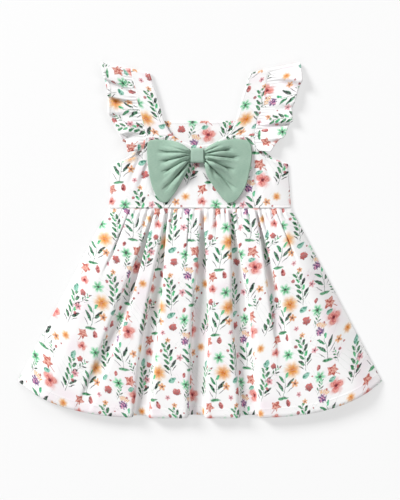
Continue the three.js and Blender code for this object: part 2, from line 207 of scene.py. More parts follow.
def shell(node, middle, cut, thickness, cloth, band=False):
    """A wall of cloth about the points middle[column, row], with a rounded rim, in place of a node.

    cut[column, row] is where each point lies on the flat cut, in millimetres. It becomes the UV
    map, in metres. A band's last column lies on its first.
    """
    columns, rows = middle.shape[:2]
    normals = grid_normals(middle)
    if band:
        normals[0] = normals[-1] = unit(normals[0] + normals[-1])
    count = columns * rows
    grid = np.arange(count).reshape(columns, rows)
    upper = np.stack([grid[:-1, :-1], grid[1:, :-1], grid[1:, 1:], grid[:-1, 1:]], -1).reshape(-1, 4)
    column, row = (np.clip(np.arange(size), 1, size - 2) for size in (columns, rows))
    inside = middle[column][:, row].reshape(-1, 3)
    middle, normals, cut = middle.reshape(-1, 3), normals.reshape(-1, 3), cut.reshape(-1, 2)
    half = np.broadcast_to(thickness, (columns, rows)).reshape(-1, 1) / 2
    points = [middle + normals * half, middle - normals * half]
    cuts = [cut, cut]
    faces = [upper, count + upper[:, ::-1]]
    used = 2 * count
    for path in rim_paths(grid, band):
        place = middle[path]
        run = np.gradient(place, axis=0)
        if not band:
            run[0] = run[-1] = place[1] - place[-2]
        out = unit(np.cross(run, normals[path]))
        out *= np.where((out * (place - inside[path])).sum(-1, keepdims=True) < 0, -1, 1)
        points.append(place + out * half[path])
        cuts.append(cut[path])
        edge = used + np.arange(len(path))
        used += len(path)
        faces.append(np.stack([path[1:], path[:-1], edge[:-1], edge[1:]], -1))
        faces.append(np.stack([edge[1:], edge[:-1], count + path[:-1], count + path[1:]], -1))
    points = np.concatenate(points)
    cuts = np.concatenate(cuts)
    faces = np.concatenate(faces)
    a, b, c, d = np.moveaxis(points[faces], 1, 0)
    volume = (a * (np.cross(b, c) + np.cross(c, d))).sum()
    if volume < 0:
        faces = faces[:, ::-1]
    return cloth_piece(node, points, faces, cuts, cloth)


def cloth_piece(node, points, faces, cuts, cloth):
    """A mesh piece from pattern points in millimetres, with its flat cut as the UV map. Points
    that lie on one another are joined."""
    material, slot = cloth
    name = node + "_cloth"
    mesh = bpy.data.meshes.new(name)
    mesh.from_pydata(((points + (0, PATTERN_SHIFT, 0)) * MM).tolist(), [], faces.tolist())
    layer = mesh.uv_layers.new(name="UVMap")
    layer.data.foreach_set("uv", (cuts[faces] * MM).ravel())
    shape = bmesh.new()
    shape.from_mesh(mesh)
    bmesh.ops.remove_doubles(shape, verts=shape.verts, dist=1e-7)
    shape.to_mesh(mesh)
    shape.free()
    mesh.materials.append(material)
    piece = root_piece(name, mesh)
    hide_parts(node)
    return piece


def place_object(name, data):
    item = bpy.data.objects.new(name, data)
    bpy.context.scene.collection.objects.link(item)
    return item


def root_piece(name, mesh):
    mesh.shade_smooth()
    piece = place_object(name, mesh)
    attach(piece, "root")
    return piece


def counters(columns, rows):
    """Two grids that count from 0 to 1, across the columns and along the rows."""
    return np.meshgrid(even_steps(columns), even_steps(rows), indexing="ij")


def together(*parts):
    """Points from the grids of their x and y, or x, y and z."""
    return np.stack(np.broadcast_arrays(*parts), -1).astype(float)


def raised(middle, thickness):
    """Where a thread lies on the upper face of a panel. A folded strip's front rows come first."""
    normals = grid_normals(middle)
    upwards = np.sign(normals[:, :3, 2].mean())
    return middle + normals * upwards * (np.asarray(thickness)[..., None] / 2 + THREAD_PROUD)


def row_line(face, back_from_end):
    """A line across the columns, a set distance below their last row."""
    line = []
    for column, length in zip(face, lengths_along(face, 1)):
        at = length[-1] - back_from_end
        line.append([np.interp(at, length, column[:, axis]) for axis in range(3)])
    return np.array(line)


def turned_edge(middle, band):
    """Thickness of a panel whose last rows are turned under and sewn."""
    lengths = lengths_along(middle, 1)
    inwards = lengths[:, -1:] - lengths
    return CLOTH + TURN_STEP * (1 - ease(inwards, band - 0.4, band + 0.4))


def hollow(away, width, sharpness):
    """A fold's profile across it, 1 in its middle, and how steeply it falls there."""
    share = np.abs(away / width)
    profile = np.exp(-(share**sharpness))
    return profile, sharpness * share ** (sharpness - 1) * profile


def overhang(away, width, sharpness):
    """Sideways shift that rolls the cloth over a fold's edges and tucks its foot under them."""
    profile, slope = hollow(away, width, sharpness)
    return np.sign(away) * (profile - 0.5) * slope


CREASE_SHARPNESS = 2.5
CREASE_ROLL = 3.6
CREASE_GROWTH = 1.4  # a crease widens by this share along its length
CREASE_SHOULDER = 0.14  # height of the swell on both sides, as a share of the depth


def creased(creases, x, y):
    """How deep a few creases press in, and the shift in x and y that rolls the cloth over them, so
    their feet lie in the dark."""
    depth = np.zeros(np.broadcast(x, y).shape)
    shift = np.zeros(depth.shape + (2,))
    for x0, y0, x1, y1, width, deep in creases:
        length = math.hypot(x1 - x0, y1 - y0)
        dx, dy = (x1 - x0) / length, (y1 - y0) / length
        along = ((x - x0) * dx + (y - y0) * dy) / length
        away = (x - x0) * dy - (y - y0) * dx
        spread = width * (1 + CREASE_GROWTH * np.clip(along, 0, 1))
        strength = deep * (ease(along, -0.08, 0.16) * (1 - ease(along, 0.25, 1)))
        swell = np.exp(-(((np.abs(away / spread) - 1.9) / 0.7) ** 2))
        depth += strength * (hollow(away, spread, CREASE_SHARPNESS)[0] - CREASE_SHOULDER * swell)
        roll = CREASE_ROLL * spread * overhang(away, spread, CREASE_SHARPNESS)
        shift += (roll * np.minimum(strength / 6, 1))[..., None] * (dy, -dx)
    return depth, shift


def uneven(x, y, scale, seed):
    """A gentle unevenness between -1 and 1, from a few long waves in chosen directions."""
    rng = np.random.default_rng(seed)
    total = 0
    for _ in range(6):
        angle = rng.uniform(0, math.tau)
        wave = rng.uniform(0.7, 1.5) / scale
        phase = rng.uniform(0, math.tau)
        total = total + np.sin(math.tau * wave * (x * math.cos(angle) + y * math.sin(angle)) + phase)
    return total / 6


def side_roll(distance):
    """How far the front has risen, 0 to 1, at a distance in from its side edge."""
    return np.sin(math.pi / 2 * np.clip(distance / SIDE_ROLL, 0, 1))


# Skirt. Places count from -1 at the left side seam to 1 at the right one, and down counts from 0 at
# the waist seam to 1 at the hem.

TROUGH_SQUARENESS = 5.5
TROUGH_OVERHANG = 3.2  # the ridges roll over the edges of a trough by about this much
WALL_DENSITY = 3  # extra columns on its walls
GATHER_WIDTH = 1.9
GATHER_SHARPNESS = 1.6
GATHER_GROWTH = 1.5
GATHER_BULGE = 2.4  # the cloth swells out below the waist seam
GATHER_HIDES = 1.6  # cloth hidden in a gather, beside a trough of like depth

# waist place, hem place, half width, depth, where it fades and ends as shares of the length
TROUGHS = [
    (-0.765, -0.83, 4.5, 5.5, 0.1, 0.38),
    (-0.5, -0.645, 10.5, 10.2, 0.45, 1.1),
    (-0.355, -0.325, 12.5, 11, 0.8, 1.5),
    (-0.115, -0.13, 3.5, 4.2, 0.08, 0.3),
    (0.03, -0.02, 13.2, 12.6, 1, 2),
    (0.335, 0.27, 14.6, 10.6, 1, 2),
    (0.615, 0.51, 10, 9.5, 0.35, 0.8),
    (0.826, 0.85, 3.5, 5, 0.08, 0.3),
]

# place, reach down the skirt, depth
GATHERS = [
    (-0.955, 22, 1.5), (-0.9, 16, 1.1), (-0.845, 30, 1.7), (-0.7, 22, 1.4), (-0.64, 34, 1.7),
    (-0.57, 46, 2.6), (-0.435, 34, 2.1), (-0.295, 52, 2.7), (-0.24, 30, 1.8), (-0.175, 24, 1.5),
    (-0.055, 28, 1.7), (0.1, 26, 1.5), (0.165, 50, 2.9), (0.225, 26, 1.6), (0.275, 34, 1.9),
    (0.4, 40, 2.4), (0.455, 26, 1.7), (0.52, 44, 2.5), (0.665, 54, 2.9), (0.72, 28, 1.6),
    (0.775, 34, 1.9), (0.89, 26, 1.6), (0.945, 18, 1.2),
]


def half_width(down):
    return blend(WAIST_HALF, HEM_HALF, down)


def hem_y(x):
    return blend(HEM_CENTRE_Y, HEM_CORNER_Y, np.abs(x / HEM_HALF) ** HEM_CURVE)


def troughs(place, down):
    """How far a point lies from each trough's middle, the trough's half width there, and its depth."""
    for waist, hem, width, depth, fades, ends in TROUGHS:
        away = (place - blend(waist, hem, down)) * half_width(down)
        opening = width * blend(0.26, 1, ease(down, 0, 0.6))
        yield away, opening, depth * ease(down, 0, 0.05) * (1 - ease(down, fades, ends))


def trough_depth(place, down):
    return sum(
        depth * hollow(away, opening, TROUGH_SQUARENESS)[0]
        for away, opening, depth in troughs(place, down)
    )


def trough_lean(place, down):
    return TROUGH_OVERHANG * sum(
        overhang(away, opening, TROUGH_SQUARENESS) * depth / RIDGE_RISE
        for away, opening, depth in troughs(place, down)
    )


def gathers(place, down):
    """How far a point lies from each gather, the gather's half width there, and its depth."""
    below = down * SKIRT_LENGTH
    for at, reach, depth in GATHERS:
        width = GATHER_WIDTH * (1 + below / reach)
        yield (place - at) * half_width(down), width, depth * (1 - ease(below, 0.25 * reach, reach))


def gather_depth(place, down):
    swell = blend(0.45, 1, ease(down * SKIRT_LENGTH, 0, 8))
    return sum(
        GATHER_GROWTH * depth * swell * hollow(away, width, GATHER_SHARPNESS)[0]
        for away, width, depth in gathers(place, down)
    )


def skirt_cut(place, down):
    """Where a point of the skirt lies on the flat cut. The cloth that the gathers and troughs take
    up is hidden in them, so the print is broken there and keeps its shape between them."""
    half = half_width(down)
    hidden = blend(SKIRT_CUT_TOP, SKIRT_CUT_HEM, down) - 2 * half
    in_gathers = sum(depth for _, _, depth in gathers(place, down))
    in_troughs = sum(depth for _, _, depth in troughs(place, down))
    share = hidden / (GATHER_HIDES * in_gathers + in_troughs + 1e-6)
    across = place * half
    for away, _, depth in gathers(place, down):
        taken = GATHER_HIDES * depth * share
        across = across + taken / 2 * np.tanh(away / (0.8 * GATHER_WIDTH))
    for away, opening, depth in troughs(place, down):
        for side in (-1, 1):
            wall = (away - side * 0.9 * opening) / (0.35 * opening)
            across = across + depth * share / 4 * np.tanh(wall)
    return together(across, -down * SKIRT_LENGTH)


def skirt_height(place, down):
    roll = side_roll(half_width(down) * (1 - np.abs(place)) / blend(1, SIDE_SPREAD, down))
    ridge = blend(BODY_RISE, RIDGE_RISE, ease(down, 0, RIDGE_GROWTH))
    ridge = ridge + GATHER_BULGE * ease(down, 0, 0.03) * (1 - ease(down, 0.08, 0.3))
    across = place * half_width(down)
    drift = 0.7 * uneven(across, down * 60, 60, 3) * ease(down, 0.05, 0.3)
    folded = ridge - trough_depth(place, down) - gather_depth(place, down) + drift
    return FRONT_LOW + roll * np.maximum(folded, LOWEST_SHARE * ridge)


def skirt_columns(count, downs):
    """Places across the skirt at each level, closer together on the steep walls of the troughs."""
    fine = np.linspace(-1, 1, 4001)
    rows = []
    for down in downs:
        density = np.ones(fine.shape)
        for away, opening, depth in troughs(fine, down):
            wall = (np.abs(away) / opening - 0.95) / 0.22
            density += WALL_DENSITY * np.exp(-(wall**2)) * np.minimum(depth / 4, 1)
        total = np.concatenate([[0], np.cumsum((density[1:] + density[:-1]) / 2)])
        rows.append(np.interp(even_steps(count), total / total[-1], fine))
    return np.stack(rows, axis=1)


def front_skirt(cloth):
    """Its rows lie closer together near the waist, and where the hem is turned under."""
    columns, rows = SKIRT_GRID
    downs = even_steps(rows) ** 1.45
    hem_rows = 1 - (HEM_TURN + np.array([1.4, 0.5, 0, -0.5, -1.4])) / SKIRT_LENGTH
    downs = np.sort(np.append(downs, hem_rows))
    place = skirt_columns(columns, downs)
    down = np.broadcast_to(downs, place.shape)
    hem = hem_y(HEM_HALF * place) + HEM_PULL * trough_depth(place, 1)
    x = place * half_width(down) + trough_lean(place, down)
    y = blend(WAIST_Y - SEAM_GAP / 2, hem, down)
    middle = together(x, y, skirt_height(place, down))
    thickness = turned_edge(middle, HEM_TURN)
    front_lines.append(row_line(raised(middle, thickness), HEM_STITCH))
    piece = shell("front_skirt", middle, skirt_cut(place, down), thickness, cloth)


def back_skirt(cloth):
    """The back lies on the surface and lifts a little under the front's ridges."""
    across, along = counters(*BACK_SKIRT_GRID)
    place = 2 * across - 1
    down = along**1.3
    x = place * half_width(down)
    tuck = BACK_HEM_TUCK * (1 - place**8)
    y = blend(WAIST_Y - SEAM_GAP / 2, hem_y(HEM_HALF * place) + tuck, down)
    room = skirt_height(place, down) - FRONT_LOW
    inner = ease(1 - np.abs(place), 0, 0.12)
    soft = 0.5 + 0.5 * uneven(x, y * 0.2, 70, 11)
    ripple = 0.5 + 0.5 * np.cos(math.pi * 26 * place + 2 * np.sin(4 * place))
    lift = inner * (0.28 * room * soft * ease(down, 0.03, 0.3) * (1 - ease(down, 0.75, 1)))
    lift = lift + inner * 0.5 * ripple * np.exp(-down * SKIRT_LENGTH / 26)
    middle = together(x, y, BACK_MID + lift)
    piece = shell("back_skirt", middle, skirt_cut(place, down), CLOTH, cloth)


# Bodice. A half edge runs from the middle of the neck to the underarm, and is mirrored.

FRONT_NECK = Curve([(0, NECK_DEPTH_Y), (14, 141), (27, 146), (STRAP_INNER, STRAP_SEAM_Y)])
FRONT_ARMHOLE = Curve([
    (STRAP_OUTER, STRAP_SEAM_Y), (79.5, 142), (83.5, 132), (92, 124.5),
    (105, 119), (117, 115), (UNDERARM_HALF, UNDERARM_Y),
])
BACK_ARMHOLE = Curve([
    (BACK_STRAP_OUTER, BACK_NECK_Y), (83.5, 155), (88, 139), (97, 128.5),
    (109, 120.5), (UNDERARM_HALF, UNDERARM_Y),
])

# Drag lines of the front: from x and y, to x and y, width, depth
BODICE_CREASES = [
    (-76, 116, -95, 56, 2.2, 1.7),
    (-88, 122, -106, 74, 2.0, 1.1),
    (-64, 86, -70, 54, 2.0, 0.8),
    (-16, 98, -30, 56, 2.2, 1.0),
    (78, 114, 88, 54, 2.2, 1.5),
    (94, 116, 112, 66, 2.0, 1.0),
    (12, 100, 20, 58, 2.0, 0.9),
    (66, 74, 70, 52, 2.0, 0.7),
]


def bodice_rise(x, y):
    side = blend(WAIST_HALF, UNDERARM_HALF, (y - WAIST_Y) / (UNDERARM_Y - WAIST_Y))
    return side_roll(side - np.abs(x))


def bodice_height(x, y):
    level = FRONT_LOW + BODY_RISE * bodice_rise(x, y)
    return blend(level, STRAP_TOP_Z, ease(y, STRAP_SEAM_Y, SHOULDER_INNER_Y))


def front_bodice_height(x, y):
    soft = 0.45 * uneven(x, y, 55, 5) - creased(BODICE_CREASES, x, y)[0]
    welt = 0.75 * np.exp(-(((y - WAIST_Y - 1.9) / 1.5) ** 4))
    return bodice_height(x, y) + bodice_rise(x, y) * soft + welt


def half_edge(neck, armhole):
    """From the middle of the neck, along the strap's seam, to the underarm."""
    armhole = armhole.along(even_steps(46))
    strap = blend(neck[-1], armhole[0], even_steps(17)[1:-1, None])
    return np.concatenate([neck, strap, armhole])


def bodice_grid(half, rows, height):
    """Columns between the top edge and the waist seam, and the same points on the flat cut."""
    lengths = lengths_along(half, 0)
    waist_x = WAIST_HALF * blend(half[:, 0] / UNDERARM_HALF, lengths / lengths[-1], 0.3)
    top = np.concatenate([half[:0:-1] * (-1, 1), half])
    low = np.concatenate([-waist_x[:0:-1], waist_x])
    share = even_steps(rows)[None, :]
    x = blend(low[:, None], top[:, :1], share)
    y = blend(WAIST_Y + SEAM_GAP / 2, top[:, 1:], share)
    return together(x, y, height(x, y)), together(x, y)


def front_bodice(cloth):
    half = half_edge(FRONT_NECK.along(even_steps(24)), FRONT_ARMHOLE)
    middle, cut = bodice_grid(half, BODICE_ROWS, front_bodice_height)
    thickness = turned_edge(middle, EDGE_TURN)
    face = raised(middle, thickness)
    front_lines.append(row_line(face, EDGE_STITCH)[2:-2])
    front_lines.append(row_line(face[:, ::-1], WELT_STITCH)[2:-2])
    piece = shell("front_bodice", middle, cut + FRONT_BODICE_PRINT, thickness, cloth)


def back_bodice(cloth):
    half = half_edge(together(even_steps(16) * BACK_STRAP_INNER, BACK_NECK_Y), BACK_ARMHOLE)

    def height(x, y):
        return BACK_MID + 0.35 * (1 + uneven(x, y, 60, 21)) * side_roll(UNDERARM_HALF - np.abs(x))

    middle, cut = bodice_grid(half, BACK_BODICE_ROWS, height)
    thickness = turned_edge(middle, EDGE_TURN)
    inner_lines.append(row_line(raised(middle, thickness), EDGE_STITCH)[2:-2])
    piece = shell("back_bodice", middle, cut + BACK_BODICE_PRINT, thickness, cloth)


# Straps and ruffles, folded over the shoulder from a front layer to a back layer

STRAP_INNER_EDGE = Curve([
    (STRAP_INNER, STRAP_SEAM_Y), (46.5, 163), (BACK_STRAP_INNER, BACK_NECK_Y),
    (57, 190), (62, 210), (73, SHOULDER_INNER_Y),
])
STRAP_OUTER_EDGE = Curve([
    (STRAP_OUTER, STRAP_SEAM_Y), (80, 163), (BACK_STRAP_OUTER, BACK_NECK_Y),
    (86.5, 190), (91.5, 210), (100.5, SHOULDER_OUTER_Y),
])


def folded_strip(front, back):
    """Joins a front and a back layer, both [column, row] from low to high, over the shoulder."""
    top, low = front[:, -1:], back[:, -1:]
    radius = (top[..., 2] - low[..., 2]) / 2
    turn = math.pi * even_steps(FOLD_ROWS + 2)[None, 1:-1]
    fold = together(
        blend(top[..., 0], low[..., 0], turn / math.pi),
        top[..., 1] + radius * np.sin(turn),
        low[..., 2] + radius * (1 + np.cos(turn)),
    )
    return np.concatenate([front, fold, back[:, ::-1]], axis=1)


def strip_cut(middle, column):
    """A strip's flat cut: width across from its inner edge, length along one of its columns."""
    along = lengths_along(middle, 1)[column]
    return together(lengths_along(middle, 0), along[None, :]), along[-1]


def front_run(face, column, rows):
    """A strip's column from just above the seam to the top of the shoulder."""
    return face[column, 3 : rows + FOLD_ROWS // 2]


def strap(node, side, cloth):
    columns, rows = STRAP_GRID
    across, up = counters(columns, rows)
    fold_y = blend(SHOULDER_INNER_Y, SHOULDER_OUTER_Y, across)

    def layer(low_y, height):
        y = blend(low_y + SEAM_GAP, fold_y, up)
        x = blend(STRAP_INNER_EDGE.x_at(y), STRAP_OUTER_EDGE.x_at(y), across)
        return together(side * x, y, height(x, y))

    def front_height(x, y):
        settle = 1 - ease(y, 225, 243)
        return bodice_height(x, y) + settle * 0.4 * uneven(side * x, y, 42, 31)

    front = layer(STRAP_SEAM_Y, front_height)
    back = layer(BACK_NECK_Y, lambda x, y: np.full(x.shape, BACK_MID))
    middle = folded_strip(front, back)
    face = raised(middle, CLOTH)
    for column in (2, columns - 3):
        front_lines.append(front_run(face, column, rows))
    cut, length = strip_cut(middle, columns // 2)
    cut = cut * (side, 1) + (side * STRAP_PRINT[0], STRAP_PRINT[1])
    piece = shell(node, middle, cut, CLOTH, cloth)
    flat = (STRAP_CUT * MM, length * MM)
    area = STRAP_TAPER * flat[0] * flat[1]


def ruffle_seam(armhole, low_y, strap_from_y):
    """The seam runs up an armhole and on along the strap, a little outside both."""
    lower = armhole.along(even_steps(31))[::-1]
    upper = STRAP_OUTER_EDGE.along(even_steps(17))
    points = np.concatenate([lower[lower[:, 1] > low_y], upper[upper[:, 1] > strap_from_y + 2]])
    return Curve(points + (0.7, 0))


RUFFLE_FRONT_SEAM = ruffle_seam(FRONT_ARMHOLE, 132, STRAP_SEAM_Y)
RUFFLE_BACK_SEAM = ruffle_seam(BACK_ARMHOLE, 138, BACK_NECK_Y)
RUFFLE_BACK_EDGE = Curve(
    [(112, 147), (122, 166), (129, 182), (131, 200), (134, 220), (143, RUFFLE_TOP_Y)]
)
LEFT_RUFFLE_EDGE = Curve([
    (102, 132), (110, 150), (119, 166), (129, 179), (133.5, 196), (132.5, 217), (138, 238),
    (143, RUFFLE_TOP_Y),
])
RIGHT_RUFFLE_EDGE = Curve([
    (102, 132), (114, 147), (125, 161), (133, 175), (133.5, 192), (139, 211), (147, 236),
    (146, RUFFLE_TOP_Y),
])
RUFFLE_WAVES = 4.6
RUFFLE_WAVE_HEIGHT = 4.6
RUFFLE_WAVE_LEAN = 4.8  # the lobes hang over the next ones down by about this much
RUFFLE_BEND = 1.5  # how far the crests bend and tilt between the seam and the free edge
RUFFLE_TILT = 2.2
RUFFLE_REACH = 0.9  # how far the crests stand out sideways
RUFFLE_LIFT = 4.8
RUFFLE_GATHERS = 26


def ruffle(node, side, phase, vigour, edge, cloth):
    """Phase is where the lobes start. Vigour is how much they stand up and lean over."""
    columns, rows = RUFFLE_GRID
    out, up = counters(columns, rows)

    def plan(seam, free):
        return blend(seam.along(up), free.along(up), out[..., None])

    place = plan(RUFFLE_FRONT_SEAM, edge)
    bend = RUFFLE_BEND * (1 - out) ** 1.5 * np.sin(math.tau * 1.4 * up + 2 * phase)
    tilt = RUFFLE_TILT * (out - 1) * np.sin(math.tau * 0.9 * up + 1.7 * phase)
    waves = RUFFLE_WAVES * up + 0.1 * np.sin(9 * up + phase)
    turn = math.tau * waves + phase + bend + tilt
    settle = 1 - 0.6 * ease(up, 0.86, 1)
    lobe = np.sin(turn) + 0.28 * np.sin(2 * turn + 0.9)
    vigour = vigour * (0.62 + 0.38 * np.sin(math.tau * 1.6 * up + 2.3 * phase))
    wave = RUFFLE_WAVE_HEIGHT * out * settle * lobe * vigour
    lean = -RUFFLE_WAVE_LEAN * out**1.3 * settle * np.sin(turn - 0.3) * (1 - ease(up, 0.9, 1))
    pull = np.abs(np.sin(math.pi * RUFFLE_GATHERS * up + 1.5 * np.sin(7 * up + phase)))
    gather = 0.9 * pull * ease(out, 0, 0.06) * (1 - ease(out, 0.12, 0.5))
    reach = RUFFLE_REACH * out**2 * settle * vigour * np.sin(turn + 0.5)
    x, y = side * (place[..., 0] + reach), place[..., 1] + lean * vigour
    z = bodice_height(x, place[..., 1]) + RUFFLE_LIFT * out * settle + wave - gather
    front = together(x, y, np.maximum(z, FRONT_LOW + 0.4))
    place = plan(RUFFLE_BACK_SEAM, RUFFLE_BACK_EDGE)[:, ::3]
    up, out = up[:, ::3], out[:, ::3]
    rise = 0.7 * out * (1 - ease(up, 0.8, 1)) * (1 + np.sin(6 * math.pi * up + phase))
    back = together(side * place[..., 0], place[..., 1], BACK_MID + rise)
    middle = folded_strip(front, back)
    thickness = CLOTH + TURN_STEP * ease(even_steps(columns), 0.9, 0.93)[:, None]
    front_lines.append(front_run(raised(middle, thickness), columns - 3, rows))
    cut, length = strip_cut(middle, columns - 10)
    cut = together(cut[..., 1], -side * cut[..., 0]) + (side * RUFFLE_PRINT[0], RUFFLE_PRINT[1])
    piece = shell(node, middle, cut, thickness, cloth)
    flat = (length * RUFFLE_FULLNESS * MM, RUFFLE_CUT * MM)
    area = RUFFLE_TAPER * flat[0] * flat[1]


# Bow, measured from the middle of its knot

BOW_CENTRE = np.array([-4, 125.3])
BOW_SCALE = 0.968  # of the measured outline, which takes in the rounded rim
KNOT_HALF, KNOT_TALL, KNOT_THICK, KNOT_WALL = 8.6, 10.8, 4.0, 1.5
BOW_CREST = 7.6
BOW_REST = FRONT_LOW + BODY_RISE + CLOTH / 2 + SEAM_GAP + BOW_CLOTH / 2
BOW_ROOT = BOW_REST - BOW_CLOTH / 2 + KNOT_THICK

# Each wing's upper, lower and outer edge, and its creases like the drag lines above
LEFT_WING = {
    "top": [(-0.8, 7.4), (-9.6, 7.6), (-25, 17.5), (-39.5, 22), (-57, 23.6), (-70.3, 22.4)],
    "low": [(-0.8, -7.4), (-9.6, -7.8), (-15.4, -23), (-23.5, -37.6), (-33.7, -55), (-44, -68)],
    "outer": [
        (-70.3, 22.4), (-74, 16), (-74.3, 2), (-72.8, -16), (-68.5, -40.5), (-61, -59.3),
        (-52, -69.5), (-44, -68),
    ],
    "creases": [
        (-10, 5.0, -46, 13, 1.0, 3.4),
        (-10, 3.2, -64, 6, 1.5, 11.0),
        (-10, 0.6, -60, -11, 1.6, 13.0),
        (-10, -1.6, -42, -15, 0.9, 4.0),
        (-10, -3.6, -56, -28, 1.5, 12.0),
        (-10.5, -7.0, -54, -57, 2.0, 15.0),
        (-14, -9.6, -34, -43, 1.1, 3.2),
    ],
}
RIGHT_WING = {
    "top": [(0.8, 7.4), (9.6, 7.6), (22.9, 16.8), (38.8, 22), (57, 24.4), (73.5, 22.8)],
    "low": [(0.8, -7.4), (9.6, -7.8), (14.6, -27.4), (24.3, -44.8), (35.9, -60.7), (46, -71)],
    "outer": [
        (73.5, 22.8), (79.4, 16), (81.2, 0), (78, -21.6), (73.6, -40.5), (66.4, -55),
        (56.2, -68), (46, -71),
    ],
    "creases": [
        (10, 5.2, 40, 16, 1.0, 3.4),
        (10, 2.8, 56, 10, 1.5, 12.0),
        (10, 0.2, 68, -4, 1.6, 12.0),
        (10, -1.9, 42, -13, 0.9, 4.0),
        (10, -3.8, 60, -25, 1.5, 11.0),
        (10.5, -7.0, 60, -55, 2.0, 15.0),
        (14, -10.6, 34, -45, 1.1, 3.2),
    ],
}


def bow_wing(node, wing, cloth):
    """Fan counts from a wing's upper edge to its lower one, and out from the knot."""
    fan, out = counters(*WING_GRID)
    top, low, outer = (Curve(wing[key]) for key in ("top", "low", "outer"))
    chord = blend(top.at(out), low.at(out), fan[..., None])
    end = blend(top.at(1.0), low.at(1.0), fan[..., None])
    plan = chord + (outer.along(fan) - end) * (out**1.5)[..., None]
    arch = np.sin(math.pi * fan) ** 0.5
    swell = ease(out, 0.1, 0.3) * (1 - 0.86 * ease(out, 0.38, 0.8))
    crest = blend(1.2, BOW_CREST, arch) * swell
    level = blend(BOW_ROOT, BOW_REST + 0.4 + 0.9 * arch, ease(out, 0.1, 0.75))
    x, y = plan[..., 0], plan[..., 1]
    soft = 0.4 * uneven(x, y, 38, 41) * ease(out, 0.3, 0.6)
    depth, shift = creased(wing["creases"], x, y)
    z = level + crest + soft - depth
    z = np.maximum(blend(z, BOW_ROOT, 1 - ease(out, 0.18, 0.25)), BOW_REST)
    leaned = BOW_CENTRE + BOW_SCALE * (plan + shift * ease(out, 0.1, 0.2)[..., None])
    middle = together(leaned[..., 0], leaned[..., 1], z)
    piece = shell(node, middle, plan, BOW_CLOTH, cloth)


def bow_knot(cloth):
    around, across = counters(*KNOT_GRID)
    angle = math.tau * around
    across = 2 * across - 1

    def squared(value):
        return np.sign(value) * np.abs(value) ** 0.5

    pinch = 1 - 0.04 * across**2 - 0.012 * np.cos(9 * across + 1) * (0.5 + 0.5 * np.sin(angle))
    x = BOW_CENTRE[0] + KNOT_HALF * across
    y = BOW_CENTRE[1] + (KNOT_TALL - KNOT_WALL / 2) * pinch * squared(np.cos(angle))
    z = BOW_ROOT + (KNOT_THICK - KNOT_WALL / 2) * pinch * squared(np.sin(angle))
    middle = together(x, y, z)
    length = lengths_along(middle[:, 0], 0)
    cut = together(across * KNOT_HALF, length[:, None])
    piece = shell("bow_knot", middle, cut, KNOT_WALL, cloth, band=True)


# Node arithmetic. A Value is what a node gives, and arithmetic with it adds nodes to Value.tree.


def sum_by(operation):
    def work(value, other):
        return calc(operation, value, other)

    return work


class Value:
    tree = None  # the node tree that is being built

    def __init__(self, socket):
        self.socket = socket

    def __abs__(self):
        return calc("ABSOLUTE", self)

    def __rsub__(self, other):
        return calc("SUBTRACT", other, self)

    __add__ = __radd__ = sum_by("ADD")
    __sub__ = sum_by("SUBTRACT")
    __mul__ = __rmul__ = sum_by("MULTIPLY")
    __truediv__ = sum_by("DIVIDE")
    __pow__ = sum_by("POWER")


def feed(node, inputs):
    """Sets a node's inputs, and links those that take a Value."""
    for key, value in inputs.items():
        if isinstance(value, Value):
            Value.tree.links.new(value.socket, node.inputs[key])
        else:
            node.inputs[key].default_value = value


def from_node(kind, inputs, *outputs, **settings):
    """What a new node gives at one of its outputs, or a list of what it gives at a few."""
    node = Value.tree.nodes.new(kind)
    for key, value in settings.items():
        setattr(node, key, value)
    feed(node, inputs)
    given = [Value(node.outputs[key]) for key in outputs]
    return given if len(given) > 1 else given[0]


def calc(operation, *values):
    return from_node("ShaderNodeMath", dict(enumerate(values)), 0, operation=operation)


def vector(operation, *values):
    output = "Value" if operation == "LENGTH" else "Vector"
    return from_node("ShaderNodeVectorMath", dict(enumerate(values)), output, operation=operation)


def step(value, low, high):
    """0 at low and 1 at high, with a soft way between. It falls where low is above high."""
    inputs = {"Value": value, "From Min": low, "From Max": high}
    return from_node("ShaderNodeMapRange", inputs, 0, interpolation_type="SMOOTHSTEP")


def mix(share, under, over):
    return from_node("ShaderNodeMix", {0: share, 6: under, 7: over}, 2, data_type="RGBA")


def choose(share, first, second):
    return from_node("ShaderNodeMix", {0: share, 4: first, 5: second}, 1, data_type="VECTOR")


def split(place):
    return from_node("ShaderNodeSeparateXYZ", {0: place}, 0, 1)


def noise(place, scale, detail):
    """A drifting vector and a drifting number."""
    inputs = {"Vector": place, "Scale": scale, "Detail": detail}
    return from_node("ShaderNodeTexNoise", inputs, "Color", 0)


def chance(value):
    """A number from 0 to 1 that is drawn anew for each whole value."""
    return from_node("ShaderNodeTexWhiteNoise", {"W": value}, "Value", noise_dimensions="1D")


def dye(red, green, blue):
    """A cloth colour from the 0 to 255 values that it shows beside white cloth at 255."""
    light = (((c / 255 + 0.055) / 1.055) ** 2.4 if c > 10 else c / 3295 for c in (red, green, blue))
    return (*(WHITENESS * c for c in light), 1)


def dyes(*colours):
    return [dye(*colour) for colour in colours]


# Printed cotton. The watercolour print is charted on a tile that repeats over the flat cut.
# Each motif is given by its x, y, turn in degrees and size, in millimetres.

TILE = (132, 94, 2)
WHITENESS = 0.8  # how much light the undyed cotton gives back
WANDER = 3.4  # how far the print wanders from its chart
WEAVE_RELIEF = 0.2 * MM


def from_spot(cloth, x, y):
    """The way to a point of the cloth from the closest repeat of a spot on the tile."""
    away = vector("SUBTRACT", cloth, (x, y, 0))
    return vector("WRAP", away, [side / 2 for side in TILE], [-side / 2 for side in TILE])


